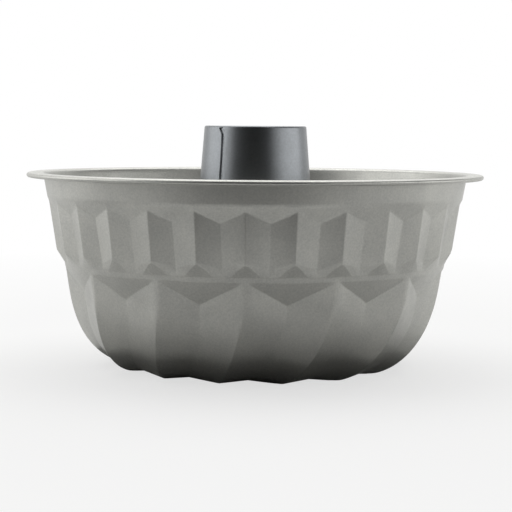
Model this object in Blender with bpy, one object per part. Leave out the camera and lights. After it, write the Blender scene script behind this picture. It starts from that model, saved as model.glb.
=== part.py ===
"""A kugelhopf mould: a deep bowl drawn from coated steel sheet, pressed into two tiers of flutes,
with a rolled sheet chimney clinched into the middle of its floor and a wire rolled into its rim.

Metres, +Z up. The origin is on the axis, at the height that the mould stands on, and one ridge of
the flutes points along -Y. Angles are counted from -Y towards +X.
"""

import math

import bmesh
import bpy
from mathutils import Vector

# Sheet, wire and clearances
SHEET = 0.0005
WIRE_D = 0.0011
WIRE_PLAY = 0.00015
JOINT_GAP = 0.0003

# Rim and the plain band under it, measured to the outside of the sheet
BAND_TOP_R = 0.1097
FLANGE_W = 0.0087
RIM_H = 0.1005
BEAD_TURN = math.radians(270)
BAND_FILLET = 0.0015
BAND_H = 0.0130
BAND_DRAFT = math.radians(10.5)

# Upper tier: V-shaped flutes, two to each lobe of the lower tier
LOBES = 14
FLUTE_TIER_H = 0.0330
FLUTE_DRAFT = math.radians(9.3)
FLUTE_DEPTH = 0.0024
FLUTE_TOP_FACET_H = 0.0065
FLUTE_FOOT_FACET_H = 0.0065
FLUTE_FOOT_FACET_W = 0.0138

# The narrow crease between the tiers
CREASE_R = 0.0988
CREASE_H = 0.0020

# Lower tier: lobes that curve in under the bowl and swirl towards the chimney
LOBE_FACET_H = 0.0124
LOBE_DEPTH = 0.0037
LOBE_DEPTH_AT_BASE = 0.0020
LOBE_LEAN = math.radians(1.0)
BASE_RING_R = 0.0650
BASE_CURVE = 1.78
SWIRL_START_R = 0.0940
SWIRL_PER_METRE = math.radians(450)
PAD_DEPTH = 0.00035
FLOOR_SLOPE = math.radians(25)

# Clinch between the bowl and the chimney: a lip turned down, with the chimney's hem folded round it
HEM_CLEARANCE = 0.0015
HEM_H = 0.0030
LIP_BEND_R = 0.0010

# Chimney, measured to the outside of the sheet
CHIMNEY_RISE = 0.0250
CHIMNEY_TOP_R = 0.0265
CHIMNEY_TAPER = math.radians(4.6)
CHIMNEY_CURL_R = 0.0010
CHIMNEY_CURL_TURN = math.radians(225)
SEAM_ANGLE = math.radians(-35)
SEAM_W = 0.0013
SEAM_DEPTH = 0.00045
SEAM_CORNER_H = 0.0030
SEAM_CORNER_W = 0.0018

# Colours and roughness
BOWL_COLOUR, BOWL_ROUGHNESS = (0.30, 0.30, 0.285), 0.42
CHIMNEY_COLOUR, CHIMNEY_ROUGHNESS = (0.22, 0.22, 0.22), 0.30
WIRE_COLOUR, WIRE_ROUGHNESS = (0.62, 0.62, 0.62), 0.35

# Mesh steps, and the angle from which an edge is shaded sharp
COLUMNS = 4 * LOBES
BEAD_STEPS = 6
FILLET_STEPS = 2
CURL_STEPS = 5
BASE_STEPS = 6
FLOOR_STEPS = 3
BEND_STEPS = 3
HEM_STEPS = 4
WIRE_SIDES = 8
SHARP_FROM = math.radians(20)

# Sizes and heights that follow from those above
RIM_R = BAND_TOP_R + FLANGE_W
BEAD_R = WIRE_D / 2 + WIRE_PLAY + SHEET
BEAD_INNER_R = BEAD_R - SHEET
BEAD_CENTRE = (RIM_R - BEAD_R, RIM_H - BEAD_R)
FLANGE_UNDER_Z = RIM_H - SHEET
FLUTE_TOP_Z = RIM_H - BAND_H
CREASE_TOP_Z = FLUTE_TOP_Z - FLUTE_TIER_H
CREASE_FOOT_Z = CREASE_TOP_Z - CREASE_H
BASE_DROP = CREASE_FOOT_Z + PAD_DEPTH
CHIMNEY_TOP_Z = RIM_H + CHIMNEY_RISE
HEM_R = SHEET / 2 + JOINT_GAP
HEM_Z = HEM_CLEARANCE + SHEET + HEM_R
LIP_TOP_Z = HEM_Z + HEM_H + LIP_BEND_R


def polar(angle, radius, height):
    return Vector((radius * math.sin(angle), -radius * math.cos(angle), height))


def circle(radius, height, turn=0.0):
    return [polar(math.tau * i / COLUMNS - turn, radius, height) for i in range(COLUMNS)]


def arc(centre, radius, start, end, steps):
    """Points (r, z) along an arc, with angles counted from +r towards +z."""
    angles = [start + (end - start) * i / steps for i in range(steps + 1)]
    return [(centre[0] + radius * math.cos(a), centre[1] + radius * math.sin(a)) for a in angles]


def midway(a, b):
    return tuple((p + q) / 2 for p, q in zip(a, b))


def skin_between(bm, upper, lower, period):
    """Triangles between two rings, wound to face out.

    A quad is split from its ridge side above to its valley side below, where period is the number
    of columns from one ridge to the next, so that triangular facets come out flat. A ring with
    twice or half the points of its neighbour is joined to it in threes.
    """
    count = len(upper)
    for i in range(count):
        j = (i + 1) % count
        if len(lower) == 2 * count:
            left, middle, right = lower[2 * i], lower[2 * i + 1], lower[2 * j]
            threes = [(upper[i], left, middle), (upper[i], middle, upper[j]), (upper[j], middle, right)]
        elif 2 * len(lower) == count:
            if i % 2:
                continue
            left, right, beyond = lower[i // 2], lower[(i // 2 + 1) % len(lower)], upper[(i + 2) % count]
            threes = [(upper[i], left, upper[j]), (left, right, upper[j]), (upper[j], right, beyond)]
        elif i % period < period / 2:
            threes = [(upper[i], lower[i], lower[j]), (upper[i], lower[j], upper[j])]
        else:
            threes = [(upper[i], lower[i], upper[j]), (lower[i], lower[j], upper[j])]
        for three in threes:
            bm.faces.new(three)


def skin_over(rings, periods):
    """A bmesh of one side of a sheet, from rings of points listed from its top edge to its bottom edge."""
    bm = bmesh.new()
    made = [[bm.verts.new(point) for point in ring] for ring in rings]
    for upper, lower, period in zip(made, made[1:], periods):
        skin_between(bm, upper, lower, period)
    return bm


def sheet_object(name, bm, material):
    """Gives the skin the thickness of the sheet, on the side that its faces turn away from."""
    mesh = bpy.data.meshes.new(name)
    bm.to_mesh(mesh)
    bm.free()
    mesh.shade_smooth()
    mesh.set_sharp_from_angle(angle=SHARP_FROM)
    mesh.materials.append(material)
    piece = bpy.data.objects.new(name, mesh)
    bpy.context.scene.collection.objects.link(piece)
    solid = piece.modifiers.new("sheet", "SOLIDIFY")
    solid.thickness = SHEET
    solid.offset = -1.0
    solid.use_even_offset = True
    return piece


def metal(name, colour, roughness):
    material = bpy.data.materials.new(name)
    material.use_nodes = True
    surface = material.node_tree.nodes["Principled BSDF"]
    surface.inputs["Base Color"].default_value = (*colour, 1.0)
    surface.inputs["Roughness"].default_value = roughness
    surface.inputs["Metallic"].default_value = 0.9
    return material


# Bowl


def rim_rings():
    """The bead's inner side, from the sheet's hidden edge round to the flange, and the band's fillet."""
    top = math.pi / 2
    bead = arc(BEAD_CENTRE, BEAD_INNER_R, top - BEAD_TURN, top, BEAD_STEPS)
    centre = (BAND_TOP_R + BAND_FILLET, FLANGE_UNDER_Z - BAND_FILLET)
    fillet = arc(centre, BAND_FILLET, top, math.pi - BAND_DRAFT, FILLET_STEPS)
    return [circle(r, z) for r, z in bead + fillet]


def flute_rings():
    """The upper tier: even columns are ridges and odd ones valleys, and all of them end at the crease."""
    top_r = BAND_TOP_R - (FLANGE_UNDER_Z - BAND_FILLET - FLUTE_TOP_Z) * math.tan(BAND_DRAFT)
    facet_z = FLUTE_TOP_Z - FLUTE_TOP_FACET_H
    foot_z = CREASE_TOP_Z + FLUTE_FOOT_FACET_H
    valley_top_r = top_r - FLUTE_TOP_FACET_H * math.tan(FLUTE_DRAFT) - FLUTE_DEPTH
    valley_fall = (valley_top_r - CREASE_R) / (facet_z - CREASE_TOP_Z)
    rings = [circle(top_r, FLUTE_TOP_Z)]
    for height in (facet_z, foot_z):
        ridge_r = top_r - (FLUTE_TOP_Z - height) * math.tan(FLUTE_DRAFT)
        valley_r = valley_top_r - (facet_z - height) * valley_fall
        radii = [ridge_r, valley_r] * (COLUMNS // 2)
        rings.append([polar(math.tau * i / COLUMNS, r, height) for i, r in enumerate(radii)])
    pitch = math.tau / (2 * LOBES)
    foot = FLUTE_FOOT_FACET_W / 2 / CREASE_R
    angles = [k * pitch + a for k in range(2 * LOBES) for a in (0, foot, pitch / 2, pitch - foot)]
    return rings + [[polar(angle, CREASE_R, CREASE_TOP_Z) for angle in angles]]


def base_point(share):
    """(r, z) on the ridge line, from the crease (share 0) round to the base ring (share 1)."""
    angle = share * math.pi / 2
    power = 2 / BASE_CURVE
    across, down = max(math.cos(angle), 0.0) ** power, math.sin(angle) ** power
    return BASE_RING_R + (CREASE_R - BASE_RING_R) * across, CREASE_FOOT_Z - BASE_DROP * down


def base_share(height):
    """The share at which the ridge line passes a height."""
    return math.asin(((CREASE_FOOT_Z - height) / BASE_DROP) ** (BASE_CURVE / 2)) / (math.pi / 2)


def below_ridge(share, depth):
    """(r, z) at a depth under the ridge line, square to it."""
    step = 1e-3
    before, after = base_point(max(share - step, 0.0)), base_point(min(share + step, 1.0))
    dr, dz = after[0] - before[0], after[1] - before[1]
    length = math.hypot(dr, dz)
    r, z = base_point(share)
    return r + dz / length * depth, z - dr / length * depth


def lobe_ring(ridge, valley, middle=None):
    """One ring of the lower tier from its (r, z) points, turned by the swirl that goes with its radius.

    Each lobe has a ridge, a middle, a valley and a middle. A middle without a point of its own lies
    straight between its neighbours, which makes the lobe's two sides flat.
    """
    pitch = math.tau / LOBES
    swirl = SWIRL_PER_METRE * max(SWIRL_START_R - ridge[0], 0.0)
    ring = []
    for lobe in range(LOBES):
        start = lobe * pitch - swirl
        deep = start + pitch / 2 - LOBE_LEAN
        end = start + pitch
        left, bottom, right = polar(start, *ridge), polar(deep, *valley), polar(end, *ridge)
        if middle:
            down, up = polar((start + deep) / 2, *middle), polar((deep + end) / 2, *middle)
        else:
            down, up = (left + bottom) / 2, (bottom + right) / 2
        ring += [left, down, bottom, up]
    return ring


def lobe_rings():
    """The lower tier from the crease to the base ring: triangular facets, then the curved sides."""
    crease = (CREASE_R, CREASE_FOOT_Z)
    apex_share = base_share(CREASE_FOOT_Z - LOBE_FACET_H)
    half_facet = midway(crease, below_ridge(apex_share, LOBE_DEPTH))
    half_ridge = base_point(base_share(CREASE_FOOT_Z - LOBE_FACET_H / 2))
    rings = [circle(*crease), lobe_ring(half_ridge, half_facet, half_facet)]
    for i in range(BASE_STEPS + 1):
        done = i / BASE_STEPS
        share = apex_share + (1 - apex_share) * done
        depth = LOBE_DEPTH + (LOBE_DEPTH_AT_BASE - LOBE_DEPTH) * done
        rings.append(lobe_ring(base_point(share), below_ridge(share, depth)))
    return rings


def floor_rings():
    """The floor from the base ring in to the chimney's foot, and the lip turned down beside the chimney."""
    stand_off = JOINT_GAP + SHEET
    bend_centre = (chimney_radius(LIP_TOP_Z) + stand_off + LIP_BEND_R, LIP_TOP_Z)
    bend_end = math.pi - CHIMNEY_TAPER
    bend = arc(bend_centre, LIP_BEND_R, math.pi / 2 - FLOOR_SLOPE, bend_end, BEND_STEPS)
    foot_r, foot_z = bend[0]
    reach = BASE_RING_R - foot_r
    rise = foot_z + PAD_DEPTH
    power = math.tan(FLOOR_SLOPE) * reach / rise
    rings = []
    for i in range(1, FLOOR_STEPS):
        share = i / FLOOR_STEPS
        r, z = BASE_RING_R - reach * share, rise * share**power - PAD_DEPTH
        rings.append(lobe_ring((r, z), (r, z + LOBE_DEPTH_AT_BASE * (1 - share))))
    swirl = SWIRL_PER_METRE * (SWIRL_START_R - foot_r)
    lip_end = (chimney_radius(HEM_Z) + stand_off, HEM_Z)
    return rings + [circle(r, z, swirl) for r, z in bend + [lip_end]]


def stand_on_flats(bm):
    """Presses the lowest spots of the ridges flat at z = 0."""
    everything = bm.verts[:] + bm.edges[:] + bm.faces[:]
    bmesh.ops.bisect_plane(bm, geom=everything, dist=1e-7, plane_co=(0, 0, 0), plane_no=(0, 0, 1))
    for vert in bm.verts:
        vert.co.z = max(vert.co.z, 0.0)


def make_bowl(material):
    """The bead, flange and band, the two tiers and the floor, drawn from one sheet."""
    upper = rim_rings() + flute_rings()
    lower = lobe_rings() + floor_rings()
    bm = skin_over(upper + lower, [2] * len(upper) + [4] * len(lower))
    stand_on_flats(bm)
    return sheet_object("bowl", bm, material)


# Chimney


def chimney_radius(height):
    return CHIMNEY_TOP_R + (CHIMNEY_TOP_Z - height) * math.tan(CHIMNEY_TAPER)


def chimney_ring(point, groove=0.0, shift=0.0):
    """A ring that starts at the seam: two corners of the groove on the surface, two pressed in."""
    radius, height = point
    seam = SEAM_ANGLE - shift / radius
    half = SEAM_W / 2 / CHIMNEY_TOP_R
    corners = ((-half, 0.0), (-half / 2, groove), (half / 2, groove), (half, 0.0))
    ring = [polar(seam + angle, radius - depth, height) for angle, depth in corners]
    return ring + [polar(SEAM_ANGLE + math.tau * i / COLUMNS, radius, height) for i in range(1, COLUMNS)]


def chimney_wall():
    """The straight wall from the curl down to the lip. The seam's groove slants at its top corner and
    ends above the floor.
    """
    top_z = CHIMNEY_TOP_Z - CHIMNEY_CURL_R - SEAM_DEPTH
    corner_z = top_z - SEAM_CORNER_H
    foot_z = LIP_TOP_Z + 2 * LIP_BEND_R
    return [
        chimney_ring((chimney_radius(top_z), top_z), SEAM_DEPTH, SEAM_CORNER_W),
        chimney_ring((chimney_radius(corner_z), corner_z), SEAM_DEPTH),
        chimney_ring((chimney_radius(foot_z), foot_z), SEAM_DEPTH),
        chimney_ring((chimney_radius(LIP_TOP_Z), LIP_TOP_Z)),
    ]


def make_chimney(material):
    """A tube rolled from one sheet: its edge curls in at the top and folds round the bowl's lip below."""
    curl_z = CHIMNEY_TOP_Z - CHIMNEY_CURL_R
    curl_centre = (chimney_radius(curl_z) - CHIMNEY_CURL_R, curl_z)
    curl = arc(curl_centre, CHIMNEY_CURL_R, CHIMNEY_CURL_TURN, CHIMNEY_TAPER, CURL_STEPS)
    hem_centre = (chimney_radius(HEM_Z) + HEM_R, HEM_Z)
    hem = arc(hem_centre, HEM_R, math.pi + CHIMNEY_TAPER, math.tau + CHIMNEY_TAPER, HEM_STEPS)
    hem_top = (chimney_radius(HEM_Z + HEM_H) + 2 * HEM_R, HEM_Z + HEM_H)
    rings = [chimney_ring(point, shift=SEAM_CORNER_W) for point in curl]
    rings += chimney_wall() + [chimney_ring(point) for point in hem + [hem_top]]
    return sheet_object("chimney", skin_over(rings, [2] * len(rings)), material)


# Wire in the rim


def make_rim_wire(material):
    bpy.ops.mesh.primitive_torus_add(
        location=(0, 0, BEAD_CENTRE[1]),
        major_radius=BEAD_CENTRE[0],
        minor_radius=WIRE_D / 2,
        major_segments=COLUMNS,
        minor_segments=WIRE_SIDES,
    )
    wire = bpy.context.object
    wire.name = wire.data.name = "rim_wire"
    wire.data.shade_smooth()
    wire.data.materials.append(material)
    return wire


for leftover in list(bpy.data.objects):
    bpy.data.objects.remove(leftover, do_unlink=True)

make_bowl(metal("bowl coating", BOWL_COLOUR, BOWL_ROUGHNESS))
make_chimney(metal("chimney coating", CHIMNEY_COLOUR, CHIMNEY_ROUGHNESS))
make_rim_wire(metal("plated wire", WIRE_COLOUR, WIRE_ROUGHNESS))
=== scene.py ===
import math

import bmesh
import bpy
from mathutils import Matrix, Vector


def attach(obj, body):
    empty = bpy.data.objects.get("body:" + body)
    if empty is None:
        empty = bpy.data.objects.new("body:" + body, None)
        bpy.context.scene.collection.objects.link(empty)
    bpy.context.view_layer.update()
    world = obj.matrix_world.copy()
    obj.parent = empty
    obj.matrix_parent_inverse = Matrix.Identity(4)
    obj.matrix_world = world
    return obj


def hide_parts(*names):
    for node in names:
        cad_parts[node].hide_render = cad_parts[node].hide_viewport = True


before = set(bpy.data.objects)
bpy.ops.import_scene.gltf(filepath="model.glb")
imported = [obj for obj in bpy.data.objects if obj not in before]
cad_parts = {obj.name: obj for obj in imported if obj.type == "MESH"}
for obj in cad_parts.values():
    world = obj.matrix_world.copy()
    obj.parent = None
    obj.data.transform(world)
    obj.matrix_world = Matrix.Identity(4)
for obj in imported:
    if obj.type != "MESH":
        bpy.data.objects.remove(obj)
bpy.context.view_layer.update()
print("frame loaded:", sorted(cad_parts))


# Shared helpers. Angles run from -Y towards +X, lengths are metres, and a profile's points are
# (r, z).


def polar(angle, radius, height):
    return Vector((radius * math.sin(angle), -radius * math.cos(angle), height))


def partWay(a, b, share):
    return a + (b - a) * share


def partWayPoint(a, b, share):
    return tuple(partWay(p, q, share) for p, q in zip(a, b))


def linePoints(a, b, steps):
    # a straight line's points after a, up to and with b
    return [partWayPoint(a, b, i / steps) for i in range(1, steps + 1)]


def arcPoints(centre, radius, start, end, steps):
    angles = [partWay(start, end, i / steps) for i in range(steps + 1)]
    return [(centre[0] + radius * math.cos(a), centre[1] + radius * math.sin(a)) for a in angles]


def smoothStep(low, high, value):
    share = min(max((value - low) / (high - low), 0.0), 1.0)
    return share * share * (3 - 2 * share)


def flatSide(angle, span, nearR, farR):
    # radius along a flat wall that runs from nearR at angle 0 to farR at angle span
    return nearR * farR * math.sin(span) / (nearR * math.sin(angle) + farR * math.sin(span - angle))


def spinRound(bm, geom, steps):
    # one full turn round the axis, closed where it ends
    bmesh.ops.spin(
        bm, geom=geom, cent=(0, 0, 0), axis=(0, 0, 1), angle=math.tau, steps=steps, use_merge=True
    )
    bmesh.ops.remove_doubles(bm, verts=bm.verts, dist=1e-7)


def spunSheet(profile, columns):
    # spins a profile of (r, z, zone, share), and keeps each point's zone and share for the pressing
    bm = bmesh.new()
    zone = bm.verts.layers.int.new("zone")
    share = bm.verts.layers.float.new("share")
    verts = []
    for r, z, zoneOf, shareOf in profile:
        vert = bm.verts.new(polar(0, r, z))
        vert[zone], vert[share] = zoneOf, shareOf
        verts.append(vert)
    edges = [bm.edges.new(pair) for pair in zip(verts, verts[1:])]
    spinRound(bm, verts + edges, columns)
    return bm, zone, share


def faceOutwards(bm, sample):
    # recalculates the normals, then turns the open shell so that it faces out at the sample
    bmesh.ops.recalc_face_normals(bm, faces=bm.faces)
    face = min(bm.faces, key=lambda f: (f.calc_center_median() - sample).length)
    if face.normal.dot(Vector((sample.x, sample.y, 0))) < 0:
        bmesh.ops.reverse_faces(bm, faces=bm.faces)


def finishedPiece(name, bm, material, sharpFrom=35):
    mesh = bpy.data.meshes.new(name)
    bm.to_mesh(mesh)
    bm.free()
    mesh.shade_smooth()
    mesh.set_sharp_from_angle(angle=math.radians(sharpFrom))
    mesh.materials.append(material)
    piece = bpy.data.objects.new(name, mesh)
    bpy.context.scene.collection.objects.link(piece)
    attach(piece, "root")
    return piece


def addThickness(piece, thickness):
    sheet = piece.modifiers.new("sheet", "SOLIDIFY")
    sheet.thickness = thickness
    sheet.offset = -1.0
    sheet.use_even_offset = False


# Materials


def srgb(hexColour):
    channels = [int(hexColour[i : i + 2], 16) / 255 for i in (1, 3, 5)]
    linear = [c / 12.92 if c <= 0.04045 else ((c + 0.055) / 1.055) ** 2.4 for c in channels]
    return (*linear, 1.0)


def newMaterial(name):
    material = bpy.data.materials.new(name)
    material.use_nodes = True
    material.node_tree.nodes.clear()
    return material


def addNode(owner, kind, settings=None, inputs=None):
    # adds one node; an input is a value, or a (node, output) pair to link from
    tree = owner.node_tree
    node = tree.nodes.new(kind)
    for key, value in (settings or {}).items():
        setattr(node, key, value)
    for key, value in (inputs or {}).items():
        if isinstance(value, tuple) and isinstance(value[0], bpy.types.Node):
            tree.links.new(value[0].outputs[value[1]], node.inputs[key])
        else:
            node.inputs[key].default_value = value
    return node


def addNoise(material, place, sizeMm, detail, roughness=0.5):
    inputs = {"Vector": place, "Scale": 1000 / sizeMm, "Detail": detail, "Roughness": roughness}
    return addNode(material, "ShaderNodeTexNoise", inputs=inputs)


def addRamp(material, factor, stops, look):
    # from a look's dark colour at the first stop to its light one at the second
    ramp = addNode(material, "ShaderNodeValToRGB", inputs={"Fac": factor})
    colours = (look["dark"], look["light"])
    for element, position, colour in zip(ramp.color_ramp.elements, stops, colours):
        element.position, element.color = position, srgb(colour)
    return ramp


coatingPattern = {
    "sprayShare": 0.35,
    "colourStops": (0.36, 0.64),
    "roughFrom": 0.35,
    "roughTo": 0.65,
}


def releaseCoating(name, look):
    # A release coating with metal flake, sprayed on sheet steel and baked: satin, with a fine
    # lively grain and a slight orange peel. The flake is some 0.05 mm, too fine to show, so the
    # grain is about 1 mm.
    material = newMaterial(name)
    place = (addNode(material, "ShaderNodeTexCoord"), "Object")
    grain = addNoise(material, place, look["grainMm"], detail=3.0, roughness=0.6)
    spray = addNoise(material, place, look["sprayMm"], detail=4.0, roughness=0.55)
    blend = addNode(
        material,
        "ShaderNodeMix",
        {"data_type": "FLOAT"},
        {0: coatingPattern["sprayShare"], 2: (grain, "Fac"), 3: (spray, "Fac")},
    )
    colour = addRamp(material, (blend, 0), coatingPattern["colourStops"], look)
    rough = addNode(
        material,
        "ShaderNodeMapRange",
        inputs={
            "Value": (blend, 0),
            "From Min": coatingPattern["roughFrom"],
            "From Max": coatingPattern["roughTo"],
            "To Min": look["roughHigh"],
            "To Max": look["roughLow"],
        },
    )
    peel = addNoise(material, place, look["peelMm"], detail=2.0)
    bump = addNode(
        material,
        "ShaderNodeBump",
        inputs={"Height": (peel, "Fac"), "Strength": 1.0, "Distance": look["peelHeight"]},
    )
    shader = addNode(
        material,
        "ShaderNodeBsdfPrincipled",
        inputs={
            "Base Color": (colour, "Color"),
            "Roughness": (rough, 0),
            "Metallic": look["metallic"],
            "Normal": (bump, "Normal"),
        },
    )
    addNode(material, "ShaderNodeOutputMaterial", inputs={"Surface": (shader, "BSDF")})
    return material


# Bowl: one sheet, spun as a blank through the ridges, then pressed into its flutes and lobes.
# Each row of the blank knows its zone, and how far down that zone it lies.

rimZone, topZone, flankZone, lowZone, footZone, facetZone, lobeZone, floorZone, lipZone = range(9)

bowlFinish = {
    "dark": "#a8a8a4",
    "light": "#b8b8b2",
    "metallic": 0.92,
    "roughLow": 0.39,
    "roughHigh": 0.47,
    "grainMm": 0.9,
    "sprayMm": 14.0,
    "peelMm": 1.6,
    "peelHeight": 0.00002,
}
bowl = {
    "sheet": 0.0005,
    "beadCentre": (0.1172, 0.0993),
    "beadInnerR": 0.0007,
    "beadTurn": 270,
    "flangeUnder": 0.1000,
    "bandTopR": 0.1097,
    "bandFillet": 0.0015,
    "bandDraft": 10.5,
    # upper tier, with two flutes to each lobe
    "fluteTop": 0.0880,
    "ridgeTopR": 0.1070,
    "ridgeFootR": 0.1022,
    "valleyTopR": 0.1041,
    "shoulder": 0.0022,  # from the top of the flutes down to the top of a ridge
    "topFacet": 0.0074,  # and to the top of a valley
    "footFacet": 0.0065,
    "footWidth": 0.0138,
    "footCurve": 1.3,
    "footLine": 0.0003,
    "lowDrop": 0.0036,
    # the crease between the tiers
    "creaseTop": 0.0545,
    "creaseFoot": 0.0525,
    "creaseTopR": 0.0991,
    "creaseR": 0.0987,
    # lower tier: a facet over each valley, then the two sides of each lobe, round to the base
    "lobes": 14,
    "lobeFacet": 0.0124,
    "facetLine": 0.0006,  # the facet's height at a ridge
    # how far from the ridge its edge starts to drop and where it bends, and the drop at that bend
    "facetCorner": (0.0020, 0.0036, 0.0022),
    "facetFade": 0.009,
    "neckDraft": 15,
    "lobeDepth": 0.0043,
    "lobeDepthAtBase": 0.0020,
    "depthFade": 1.6,
    "lobeLean": 1.0,
    "lobeLand": 0.0026,
    "landFade": (0.1, 0.35),
    "sideDraft": 0.013,
    "sideDraftFade": 5,
    "baseRingR": 0.0650,
    "baseCurve": 1.92,
    "swirlStartR": 0.0940,
    "swirlPerMetre": 450,
    "padDepth": 0.00035,
    # floor, and the lip that the chimney's hem folds round
    "floorSlope": 25,
    "lipBendR": 0.0010,
    "lipTop": 0.00655,
    "lipEnd": 0.00255,
    "lipGap": 0.0008,
    # mesh: columns round and how far they crowd to the ridges, then each zone's rows and the share
    # of it that its narrow end rows take
    "columns": 392,
    "crowding": 0.8,
    "fluteRows": (
        (topZone, 5, 0.16),
        (flankZone, 11, 0.04),
        (lowZone, 5, 0.06),
        (footZone, 4, 0.1),
    ),
    "facetRows": (6, 0.06),
    "facetRowsEnd": 0.2,
    "lobeRows": (38, 0.01),
    "floorRows": 9,
}
lobePitch = math.tau / bowl["lobes"]
halfFlute = lobePitch / 4  # from a flute's ridge to its valley
lobeLean = math.radians(bowl["lobeLean"])
lobeValley = lobePitch / 2 - lobeLean  # each valley lies a little off the middle
baseDrop = bowl["creaseFoot"] + bowl["padDepth"]

# The chimney's sizes stand here too, because the bowl's lip lies in its hem.
chimney = {
    "sheet": 0.0005,
    "top": 0.1250,
    "topR": 0.0265,
    "taper": 4.6,
    "curlR": 0.0010,
    "curlTurn": 225,
    "hemR": 0.00055,
    "hemZ": 0.00255,
    "hemRise": 0.0030,
    "seamAngle": -35,
    "seamWidth": 0.0026,
    "seamDepth": 0.0009,
    "seamFrom": 0.0014,
    "seamTopFade": 0.0004,
    "seamFootFade": (0.0075, 0.0095),
    "seamFlat": 0.7,  # the share of its width that is pressed to the full depth
    "cornerRise": 0.0030,
    "cornerShift": 0.0018,
    "columns": 240,
    "crowding": 0.85,
    "rowStops": (0.105, 0.0115),
    "wallFootRise": 0.0015,  # from the top of the lip up to the wall's lowest row
    "wallRows": (8, 4, 16, 3),
}


def chimneyRadius(height):
    return chimney["topR"] + (chimney["top"] - height) * math.tan(math.radians(chimney["taper"]))


def bandRadius(height):
    fillet = bowl["flangeUnder"] - bowl["bandFillet"]
    return bowl["bandTopR"] - (fillet - height) * math.tan(math.radians(bowl["bandDraft"]))


def basePoint(share):
    # the ridge line of a lobe, from the crease (share 0) round to the ring it stands on (share 1)
    angle, power = share * math.pi / 2, 2 / bowl["baseCurve"]
    across, down = max(math.cos(angle), 0.0) ** power, math.sin(angle) ** power
    inset = bowl["sideDraft"] * share * (1 - share) ** bowl["sideDraftFade"]
    radius = partWay(bowl["baseRingR"], bowl["creaseR"], across) - inset
    return radius, bowl["creaseFoot"] - baseDrop * down


def baseShare(height):
    down = (bowl["creaseFoot"] - height) / baseDrop
    return math.asin(down ** (bowl["baseCurve"] / 2)) / (math.pi / 2)


def belowRidge(share, depth):
    # a point square under the ridge line
    near = 1e-3
    before, after = basePoint(max(share - near, 0.0)), basePoint(min(share + near, 1.0))
    dr, dz = after[0] - before[0], after[1] - before[1]
    length = math.hypot(dr, dz)
    r, z = basePoint(share)
    return r + dz / length * depth, z - dr / length * depth


def lipBend():
    centre = (chimneyRadius(bowl["lipTop"]) + bowl["lipGap"] + bowl["lipBendR"], bowl["lipTop"])
    start = math.pi / 2 - math.radians(bowl["floorSlope"])
    end = math.pi - math.radians(chimney["taper"])
    return arcPoints(centre, bowl["lipBendR"], start, end, steps=4)


def floorPoint(share):
    # the floor's ridge line, from the ring in to the bend of the lip
    footR, footZ = lipBend()[0]
    reach, rise = bowl["baseRingR"] - footR, footZ + bowl["padDepth"]
    power = math.tan(math.radians(bowl["floorSlope"])) * reach / rise
    return bowl["baseRingR"] - reach * share, rise * share**power - bowl["padDepth"]


def crispRows(steps, margin):
    # shares after 0, up to 1, with a narrow row at each end, so that smooth shading turns sharply
    return [partWay(margin, 1 - margin, i / (steps - 2)) for i in range(steps - 1)] + [1.0]


def bowlProfile():
    top = math.pi / 2
    beadStart = top - math.radians(bowl["beadTurn"])
    bead = arcPoints(bowl["beadCentre"], bowl["beadInnerR"], beadStart, top, steps=12)
    filletCentre = (bowl["bandTopR"] + bowl["bandFillet"], bowl["flangeUnder"] - bowl["bandFillet"])
    bandTurn = math.pi - math.radians(bowl["bandDraft"])
    fillet = arcPoints(filletCentre, bowl["bandFillet"], top, bandTurn, steps=4)
    flange = linePoints(bead[-1], fillet[0], steps=3)[:-1]
    bandFoot = (bandRadius(bowl["fluteTop"]), bowl["fluteTop"])
    band = linePoints(fillet[-1], bandFoot, steps=6)
    profile = [(r, z, rimZone, 0.0) for r, z in bead + flange + fillet + band]
    zones = len(bowl["fluteRows"])
    for zone, steps, margin in bowl["fluteRows"]:
        for share in crispRows(steps, margin):
            down = (zone - topZone + share) / zones
            height = partWay(bowl["fluteTop"], bowl["creaseTop"], down)
            profile.append((bandRadius(height), height, zone, share))
    profile.append((bowl["creaseR"], bowl["creaseFoot"], facetZone, 0.0))
    facetEnd = bowl["facetRowsEnd"]
    for share in crispRows(*bowl["facetRows"]):
        profile.append((*basePoint(facetEnd * share), facetZone, share))
    for share in crispRows(*bowl["lobeRows"]):
        profile.append((*basePoint(partWay(facetEnd, 1.0, share)), lobeZone, share))
    for i in range(1, bowl["floorRows"]):
        share = i / bowl["floorRows"]
        profile.append((*floorPoint(share), floorZone, share))
    lipEnd = (chimneyRadius(bowl["lipEnd"]) + bowl["lipGap"], bowl["lipEnd"])
    lip = lipBend() + linePoints(lipBend()[-1], lipEnd, steps=3)
    return profile + [(r, z, lipZone, 1.0) for r, z in lip]


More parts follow.
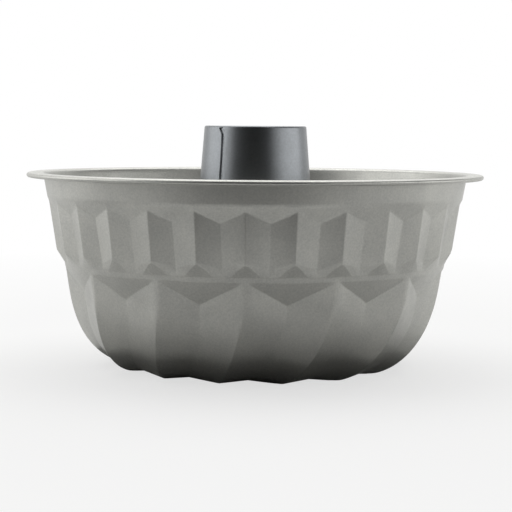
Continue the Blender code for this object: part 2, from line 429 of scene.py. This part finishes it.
def flutePoint(zone, share, angle):
    # on the upper tier: flat flanks between ridges and valleys, and triangular facets over and
    # under them
    off = abs((angle + halfFlute) % (2 * halfFlute) - halfFlute)  # the angle from the next ridge
    across = off / halfFlute
    top, foot = bowl["fluteTop"], bowl["creaseTop"]
    ridgeTop, valleyTop = top - bowl["shoulder"], top - bowl["topFacet"]

    def flank(height):
        up = height - foot
        ridgeR = partWay(bowl["ridgeFootR"], bowl["ridgeTopR"], up / (ridgeTop - foot))
        valleyR = partWay(bowl["creaseTopR"], bowl["valleyTopR"], up / (valleyTop - foot))
        return flatSide(off, halfFlute, ridgeR, valleyR), height

    topEdge = flank(partWay(ridgeTop, valleyTop, across))
    lowEdge = flank(foot + bowl["footFacet"] + 2 * bowl["footLine"] - bowl["lowDrop"] * across)
    footAcross = min(off * bowl["creaseR"] / (bowl["footWidth"] / 2), 1.0)
    rise = max(bowl["footFacet"] * (1 - footAcross ** bowl["footCurve"]), bowl["footLine"])
    apexR = partWay(bowl["ridgeFootR"], bowl["ridgeTopR"], rise / (top - foot))
    footEdge = (partWay(bowl["creaseTopR"], apexR, rise / bowl["footFacet"]), foot + rise)
    if zone == topZone:
        return partWayPoint((bandRadius(top), top), topEdge, share)
    if zone == flankZone:
        return flank(partWay(topEdge[1], lowEdge[1], share))
    if zone == lowZone:
        return partWayPoint(lowEdge, footEdge, share)
    return partWayPoint(footEdge, (bowl["creaseTopR"], foot), share)


def lobeShape(angle, ridge, valley, land=0.0):
    # at an angle from a lobe's first ridge: two flat sides that meet in the valley, between ridges
    # with a flat land
    land = land / 2 / ridge[0]
    off, span = angle, lobeValley
    if angle >= lobeValley:
        off, span = lobePitch - angle, lobePitch - lobeValley
    off, span = max(off - land, 0.0), span - land
    near, far = ridge[0] * math.sin(off), valley[0] * math.sin(span - off)
    radius = flatSide(off, span, ridge[0], valley[0])
    return radius, partWay(ridge[1], valley[1], near / (near + far))


def lobeSide(angle, share):
    apex = baseShare(bowl["creaseFoot"] - bowl["lobeFacet"])
    toBase = max((share - apex) / (1 - apex), 0.0)
    depth = partWay(bowl["lobeDepthAtBase"], bowl["lobeDepth"], (1 - toBase) ** bowl["depthFade"])
    land = bowl["lobeLand"] * (1 - smoothStep(*bowl["landFade"], share))
    return lobeShape(angle, basePoint(share), belowRidge(share, depth), land)


def facetEdge(angle):
    # the lower edge of the facets under the crease: high at each ridge, an apex in each valley
    crease = (bowl["creaseR"], bowl["creaseFoot"])
    apex = belowRidge(baseShare(crease[1] - bowl["lobeFacet"]), bowl["lobeDepth"])
    apexDrop, apexReach = crease[1] - apex[1], lobeValley * crease[0]
    dropFrom, bendAt, bendDrop = bowl["facetCorner"]
    reach = min(angle / lobeValley, (lobePitch - angle) / (lobePitch - lobeValley)) * apexReach
    if reach < bendAt:
        toBend = max((reach - dropFrom) / (bendAt - dropFrom), 0.0)
        drop = partWay(bowl["facetLine"], bendDrop, toBend)
    else:
        drop = partWay(bendDrop, apexDrop, (reach - bendAt) / (apexReach - bendAt))
    r, z = partWayPoint(crease, apex, drop / apexDrop)
    neckR = crease[0] - drop * math.tan(math.radians(bowl["neckDraft"]))
    return partWay(neckR, r, smoothStep(dropFrom, bendAt, reach)), z


def lobePoint(zone, share, angle):
    # on the lower tier: under the crease the facets, then the lobes' sides down to the base
    edge = facetEdge(angle)
    if zone == facetZone:
        return partWayPoint((bowl["creaseR"], bowl["creaseFoot"]), edge, share)
    edgeShare = 0.0
    for _ in range(4):  # closes in on the share at which the lobe's side meets the facet's edge
        edgeShare = baseShare(edge[1] - lobeSide(angle, edgeShare)[1] + basePoint(edgeShare)[1])
    r, z = lobeSide(angle, partWay(edgeShare, 1.0, share))
    sunk = edge[0] - lobeSide(angle, edgeShare)[0]
    return r + sunk * (1 - smoothStep(0, bowl["facetFade"], edge[1] - z)), z


def pressedPoint(zone, share, turn, blank):
    # columns crowd towards ridges and valleys, and each lobe's middle column leans to its valley
    crowding = bowl["crowding"] * halfFlute / math.tau
    angle = turn - crowding * math.sin(math.tau * turn / halfFlute)
    radius, height = math.hypot(blank.x, blank.y), blank.z
    swirlFrom, swirl = bowl["swirlStartR"], math.radians(bowl["swirlPerMetre"])
    if zone == rimZone:
        return polar(angle, radius, height)
    if zone in (topZone, flankZone, lowZone, footZone):
        return polar(angle, *flutePoint(zone, share, angle))
    if zone == lipZone:
        return polar(angle - swirl * (swirlFrom - lipBend()[0][0]), radius, height)
    within = angle % lobePitch
    lean = lobeLean * min(within, lobePitch - within) / (lobePitch / 2)
    if zone == floorZone:
        ridge = floorPoint(share)
        valley = (ridge[0], ridge[1] + bowl["lobeDepthAtBase"] * (1 - share))
        r, z = lobeShape(within - lean, ridge, valley)
        ridgeR = ridge[0]
    else:
        r, z = lobePoint(zone, share, within - lean)
        ridgeR = bowl["creaseR"] if zone == facetZone else radius
    return polar(angle - lean - swirl * max(swirlFrom - ridgeR, 0.0), r, max(z, 0.0))


def makeBowl(material):
    bm, zone, share = spunSheet(bowlProfile(), bowl["columns"])
    for vert in bm.verts:
        turn = math.atan2(vert.co.x, -vert.co.y)
        vert.co = pressedPoint(vert[zone], vert[share], turn, vert.co)
    bandMiddle = (bowl["flangeUnder"] + bowl["fluteTop"]) / 2
    faceOutwards(bm, polar(0, bandRadius(bandMiddle), bandMiddle))
    piece = finishedPiece("bowl_pressing", bm, material)
    addThickness(piece, bowl["sheet"])
    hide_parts("bowl")
    print("bowl pressed:", len(piece.data.polygons), "faces")


makeBowl(releaseCoating("satin grey release coating", bowlFinish))


# Chimney: a tube rolled from one sheet, its top edge curled in and its foot folded round the
# bowl's lip

chimneyFinish = {
    "dark": "#777a7c",
    "light": "#7f8285",
    "metallic": 0.92,
    "roughLow": 0.32,
    "roughHigh": 0.38,
    "grainMm": 1.1,
    "sprayMm": 12.0,
    "peelMm": 2.0,
    "peelHeight": 0.000003,
}
seamTop = chimney["top"] - chimney["seamFrom"]
seamCorner = seamTop - chimney["cornerRise"]


def chimneyProfile():
    taper = math.radians(chimney["taper"])
    curlZ = chimney["top"] - chimney["curlR"]
    curlCentre = (chimneyRadius(curlZ) - chimney["curlR"], curlZ)
    curlTurn = math.radians(chimney["curlTurn"])
    curl = arcPoints(curlCentre, chimney["curlR"], curlTurn, taper, steps=12)
    wallFoot = bowl["lipTop"] + chimney["wallFootRise"]
    wallStops = (seamTop, seamCorner, *chimney["rowStops"], wallFoot)
    wallAt = [(chimneyRadius(z), z) for z in wallStops]
    hemCentre = (chimneyRadius(chimney["hemZ"]) + chimney["hemR"], chimney["hemZ"])
    hem = arcPoints(hemCentre, chimney["hemR"], math.pi + taper, math.tau + taper, steps=8)
    hemEndZ = chimney["hemZ"] + chimney["hemRise"]
    hemEnd = (chimneyRadius(hemEndZ) + 2 * chimney["hemR"], hemEndZ)
    points = curl + [wallAt[0]]
    for start, end, rows in zip(wallAt, wallAt[1:], chimney["wallRows"]):
        points += linePoints(start, end, rows)
    points += linePoints(wallAt[-1], hem[0], steps=2)[:-1] + hem
    points += linePoints(hem[-1], hemEnd, steps=2)
    return [(r, z, 0, 0.0) for r, z in points]


def seamDip(offset, height):
    # how far the seam is pressed in, at a distance round from its own line; its top corner slants
    toTop = min(max((height - seamCorner) / chimney["cornerRise"], 0.0), 1.0)
    across = abs(offset + chimney["cornerShift"] * toTop)
    half = chimney["seamWidth"] / 2
    topEnd = 1 - smoothStep(seamTop, seamTop + chimney["seamTopFade"], height)
    footEnd = smoothStep(*chimney["seamFootFade"], height)
    side = 1 - smoothStep(half * chimney["seamFlat"], half, across)
    return chimney["seamDepth"] * topEnd * footEnd * side


def makeChimney(material):
    # columns stand closer together near the seam
    bm, _, _ = spunSheet(chimneyProfile(), chimney["columns"])
    seam = math.radians(chimney["seamAngle"])
    for vert in bm.verts:
        turn = math.atan2(vert.co.x, -vert.co.y)
        offset = turn - chimney["crowding"] * math.sin(turn)
        radius = math.hypot(vert.co.x, vert.co.y)
        dip = seamDip(offset * radius, vert.co.z)
        vert.co = polar(seam + offset, radius - dip, vert.co.z)
    middle = chimney["top"] / 2
    faceOutwards(bm, polar(seam + math.pi / 2, chimneyRadius(middle), middle))
    piece = finishedPiece("chimney_tube", bm, material, sharpFrom=50)
    addThickness(piece, chimney["sheet"])
    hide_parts("chimney")
    print("chimney rolled:", len(piece.data.polygons), "faces")


makeChimney(releaseCoating("smooth dark release coating", chimneyFinish))


# Rim wire: drawn steel wire in the rolled rim

wireFinish = {
    "dark": "#a9a7a3",
    "light": "#bcbab6",
    "colourStops": (0.3, 0.7),
    "roughness": 0.34,
    "marksMm": 0.4,
}
rimWire = {"columns": 196, "sides": 12, "radius": 0.00055}


def platedWire(name, look):
    # Steel wire, drawn and thinly plated: bright, with small uneven marks from the die
    material = newMaterial(name)
    place = (addNode(material, "ShaderNodeTexCoord"), "Object")
    marks = addNoise(material, place, look["marksMm"], detail=2.0)
    colour = addRamp(material, (marks, "Fac"), look["colourStops"], look)
    shader = addNode(
        material,
        "ShaderNodeBsdfPrincipled",
        inputs={"Base Color": (colour, "Color"), "Roughness": look["roughness"], "Metallic": 1.0},
    )
    addNode(material, "ShaderNodeOutputMaterial", inputs={"Surface": (shader, "BSDF")})
    return material


def makeRimWire(material):
    bm = bmesh.new()
    made = bmesh.ops.create_circle(bm, segments=rimWire["sides"], radius=rimWire["radius"])
    beadR, beadZ = bowl["beadCentre"]
    for vert in made["verts"]:
        vert.co = polar(0, beadR + vert.co.x, beadZ + vert.co.y)
    spinRound(bm, bm.verts[:] + bm.edges[:], rimWire["columns"])
    bmesh.ops.recalc_face_normals(bm, faces=bm.faces)
    piece = finishedPiece("rim_wire_ring", bm, material)
    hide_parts("rim_wire")
    print("rim wire drawn:", len(piece.data.polygons), "faces")


makeRimWire(platedWire("drawn and plated steel wire", wireFinish))


# Stage: floor, world, cards, lamps and camera

stage = {
    # the floor, the share of plain white in it near the object, where that starts to rise and where
    # it is all white, and the light of the world
    "floorR": 0.85,
    "floorColour": "#f7f7f6",
    "whiteNear": 0.68,
    "whiteFrom": 0.25,
    "whiteTo": 0.75,
    "ambient": 0.2,
    # painted reflections and painted shade on the floor, seen only in the metal's mirror images
    "paintedGreyReflection": {"colour": "#c4c4c4", "width": 1.3, "fromY": 0.0, "toY": -0.9},
    "paintedPaleReflection": {"colour": "#f8f8f8", "width": 0.44, "fromY": 0.0, "toY": -1.6},
    # a white strip that glows though it is no lamp: a painted highlight for the crease to mirror
    "paintedWhiteHighlight": {"colour": "#ffffff", "width": 0.5, "fromY": -0.195, "toY": -0.257},
    # a grey disc under the base: painted shade, the contact shadow as the metal's mirror images
    # show it
    "paintedShadeColour": "#949494",
    "paintedShadeR": 0.09,
    "sheetStep": 0.0001,
    # dark cards
    "cardColour": "#161616",
    "cardAt": -1.6,
    "frontCard": {"fromX": -1.85, "toX": 1.4, "height": 2.4},
    "rightCard": {"x": 1.25, "fromY": -0.9, "toY": 1.0, "fromZ": 0.42, "height": 2.0},
    # a dark card seen only in the metal's mirror images: a painted dark reflection
    "paintedReflectionCard": {"width": 0.9, "fromY": -0.257, "z": 0.002},
    # lamps: at the sides by their radiance, above by its power
    "sideLamps": (
        {"name": "left softbox", "x": -0.85, "y": 0.0, "height": 0.46, "radiance": 1.3},
        {"name": "right softbox", "x": 0.85, "y": -0.1, "height": 0.32, "radiance": 1.5},
    ),
    "sideLampWidth": 0.95,
    "sideLampFoot": 0.04,
    "topLampAt": (0.0, 0.45, 1.5),
    "topLampSize": (2.2, 2.0),
    "topLampPower": 24.0,
    # camera, turned by degrees, and its lens and sensor in mm
    "cameraAt": (0.0329, -0.8193, 0.1245),
    "cameraTurn": (85.285, -0.446, 2.282),
    "lens": 110.1,
    "sensorWidth": 36.0,
}


def stagePiece(name, bm, colour, glows=False):
    mesh = bpy.data.meshes.new(name)
    bm.to_mesh(mesh)
    bm.free()
    made = bpy.data.objects.new(name, mesh)
    bpy.context.scene.collection.objects.link(made)
    material = newMaterial(name)
    kind = "ShaderNodeEmission" if glows else "ShaderNodeBsdfDiffuse"
    shader = addNode(material, kind, inputs={"Color": srgb(colour)})
    addNode(material, "ShaderNodeOutputMaterial", inputs={"Surface": (shader, 0)})
    mesh.materials.append(material)
    return made


def makeDisc(name, colour, radius, height):
    bm = bmesh.new()
    for vert in bmesh.ops.create_circle(bm, cap_ends=True, segments=96, radius=radius)["verts"]:
        vert.co.z = height
    return stagePiece(name, bm, colour)


def makeCard(name, colour, corner, along, up, glows=False):
    # a flat card that the camera doesn't see, from a corner along its two sides
    bm = bmesh.new()
    bmesh.ops.create_grid(bm, x_segments=1, y_segments=1, size=0.5)
    for vert in bm.verts:
        alongShare, upShare = vert.co.x + 0.5, vert.co.y + 0.5
        vert.co = Vector(corner) + Vector(along) * alongShare + Vector(up) * upShare
    card = stagePiece(name, bm, colour, glows)
    card.visible_camera = False
    return card


def seenDirectly(owner):
    # 1 for what the camera sees, also in a mirror or through glass, and 0 for light on things
    path = addNode(owner, "ShaderNodeLightPath")
    seen = addNode(
        owner,
        "ShaderNodeMath",
        inputs={0: (path, "Is Camera Ray"), 1: (path, "Is Glossy Ray")},
    )
    return addNode(
        owner,
        "ShaderNodeMath",
        {"use_clamp": True},
        {0: (seen, 0), 1: (path, "Is Transmission Ray")},
    )


def makeFloor():
    # plain and pale: the lit floor with the object's shadow, turning to plain white in the distance
    floor = makeDisc("pale_floor", stage["floorColour"], stage["floorR"], 0.0)
    material = floor.data.materials[0]
    nodes = material.node_tree.nodes
    place = addNode(material, "ShaderNodeTexCoord")
    distance = addNode(
        material,
        "ShaderNodeVectorMath",
        {"operation": "LENGTH"},
        {0: (place, "Object")},
    )
    whiteShare = addNode(
        material,
        "ShaderNodeMapRange",
        inputs={
            "Value": (distance, "Value"),
            "From Min": stage["whiteFrom"],
            "From Max": stage["whiteTo"],
            "To Min": stage["whiteNear"],
        },
    )
    share = addNode(
        material,
        "ShaderNodeMath",
        {"operation": "MULTIPLY"},
        {0: (whiteShare, 0), 1: (seenDirectly(material), 0)},
    )
    white = addNode(material, "ShaderNodeEmission", inputs={"Color": (1, 1, 1, 1)})
    mix = addNode(
        material,
        "ShaderNodeMixShader",
        inputs={0: (share, 0), 1: (nodes["Diffuse BSDF"], "BSDF"), 2: (white, "Emission")},
    )
    material.node_tree.links.new(mix.outputs[0], nodes["Material Output"].inputs["Surface"])


def makeWorld():
    world = bpy.data.worlds.new("white studio")
    bpy.context.scene.world = world
    world.use_nodes = True
    world.node_tree.nodes.clear()
    level = addNode(
        world,
        "ShaderNodeMapRange",
        inputs={"Value": (seenDirectly(world), 0), "To Min": stage["ambient"], "To Max": 1.0},
    )
    sky = addNode(
        world,
        "ShaderNodeBackground",
        inputs={"Color": (1, 1, 1, 1), "Strength": (level, 0)},
    )
    addNode(world, "ShaderNodeOutputWorld", inputs={"Surface": (sky, "Background")})


def makeDarkCards():
    # dark cards, as a studio's flags: in front and at the right; and low over the floor in front a
    # dark card that casts no shadow and shows only in the metal, a painted dark reflection
    colour, farY = stage["cardColour"], stage["cardAt"]
    front, right, darkMirror = stage["frontCard"], stage["rightCard"], stage["paintedReflectionCard"]
    makeCard(
        "front_card",
        colour,
        corner=(front["fromX"], farY, 0),
        along=(front["toX"] - front["fromX"], 0, 0),
        up=(0, 0, front["height"]),
    )
    makeCard(
        "right_card",
        colour,
        corner=(right["x"], right["fromY"], right["fromZ"]),
        along=(0, right["toY"] - right["fromY"], 0),
        up=(0, 0, right["height"]),
    )
    # painted dark reflection: a low dark card that casts no shadow and shows only in the metal
    paintedReflectionCard = makeCard(
        "painted_dark_reflection_card",
        colour,
        corner=(-darkMirror["width"] / 2, darkMirror["fromY"], darkMirror["z"]),
        along=(darkMirror["width"], 0, 0),
        up=(0, farY - darkMirror["fromY"], 0),
    )
    paintedReflectionCard.visible_shadow = paintedReflectionCard.visible_diffuse = False


def makeFloorSheets():
    # sheets, a glowing strip and a disc on the floor that light nothing and only show in the
    # metal's mirror images: painted reflections, a painted highlight and painted shade
    step = stage["sheetStep"]
    # painted shade: a grey disc under the base, the contact shadow in the metal's mirror images
    sheets = [makeDisc("painted_shade_disc", stage["paintedShadeColour"], stage["paintedShadeR"], 3 * step)]
    for level, name in enumerate(("paintedGreyReflection", "paintedPaleReflection", "paintedWhiteHighlight"), 1):
        sheet = stage[name]
        sheets.append(
            makeCard(
                name,
                sheet["colour"],
                corner=(-sheet["width"] / 2, sheet["fromY"], level * step),
                along=(sheet["width"], 0, 0),
                up=(0, sheet["toY"] - sheet["fromY"], 0),
                glows=name == "paintedWhiteHighlight",
            )
        )
    for sheet in sheets:
        sheet.visible_camera = sheet.visible_shadow = sheet.visible_diffuse = False


def makeLamp(name, place, target, size, power):
    data = bpy.data.lights.new(name, "AREA")
    data.shape = "RECTANGLE"
    data.size, data.size_y = size
    data.energy = power
    lamp = bpy.data.objects.new(name, data)
    bpy.context.scene.collection.objects.link(lamp)
    lamp.location = place
    towards = Vector(target) - Vector(place)
    lamp.rotation_euler = towards.to_track_quat("-Z", "Y").to_euler()
    lamp.visible_camera = False


def makeLamps():
    width = stage["sideLampWidth"]
    for lamp in stage["sideLamps"]:
        middle = stage["sideLampFoot"] + lamp["height"] / 2
        power = lamp["radiance"] * math.pi * width * lamp["height"]
        place, target = (lamp["x"], lamp["y"], middle), (0, lamp["y"], middle)
        makeLamp(lamp["name"], place, target, (width, lamp["height"]), power)
    place, size, power = stage["topLampAt"], stage["topLampSize"], stage["topLampPower"]
    makeLamp("top softbox", place, (0, 0, 0), size, power)


def makeCamera():
    data = bpy.data.cameras.new("camera")
    data.lens = stage["lens"]
    data.sensor_width = stage["sensorWidth"]
    camera = bpy.data.objects.new("camera", data)
    bpy.context.scene.collection.objects.link(camera)
    camera.location = stage["cameraAt"]
    camera.rotation_euler = [math.radians(a) for a in stage["cameraTurn"]]
    bpy.context.scene.camera = camera


makeFloor()
makeWorld()
makeDarkCards()
makeFloorSheets()
makeLamps()
makeCamera()
bpy.context.scene.view_settings.view_transform = "Standard"
print("stage set")
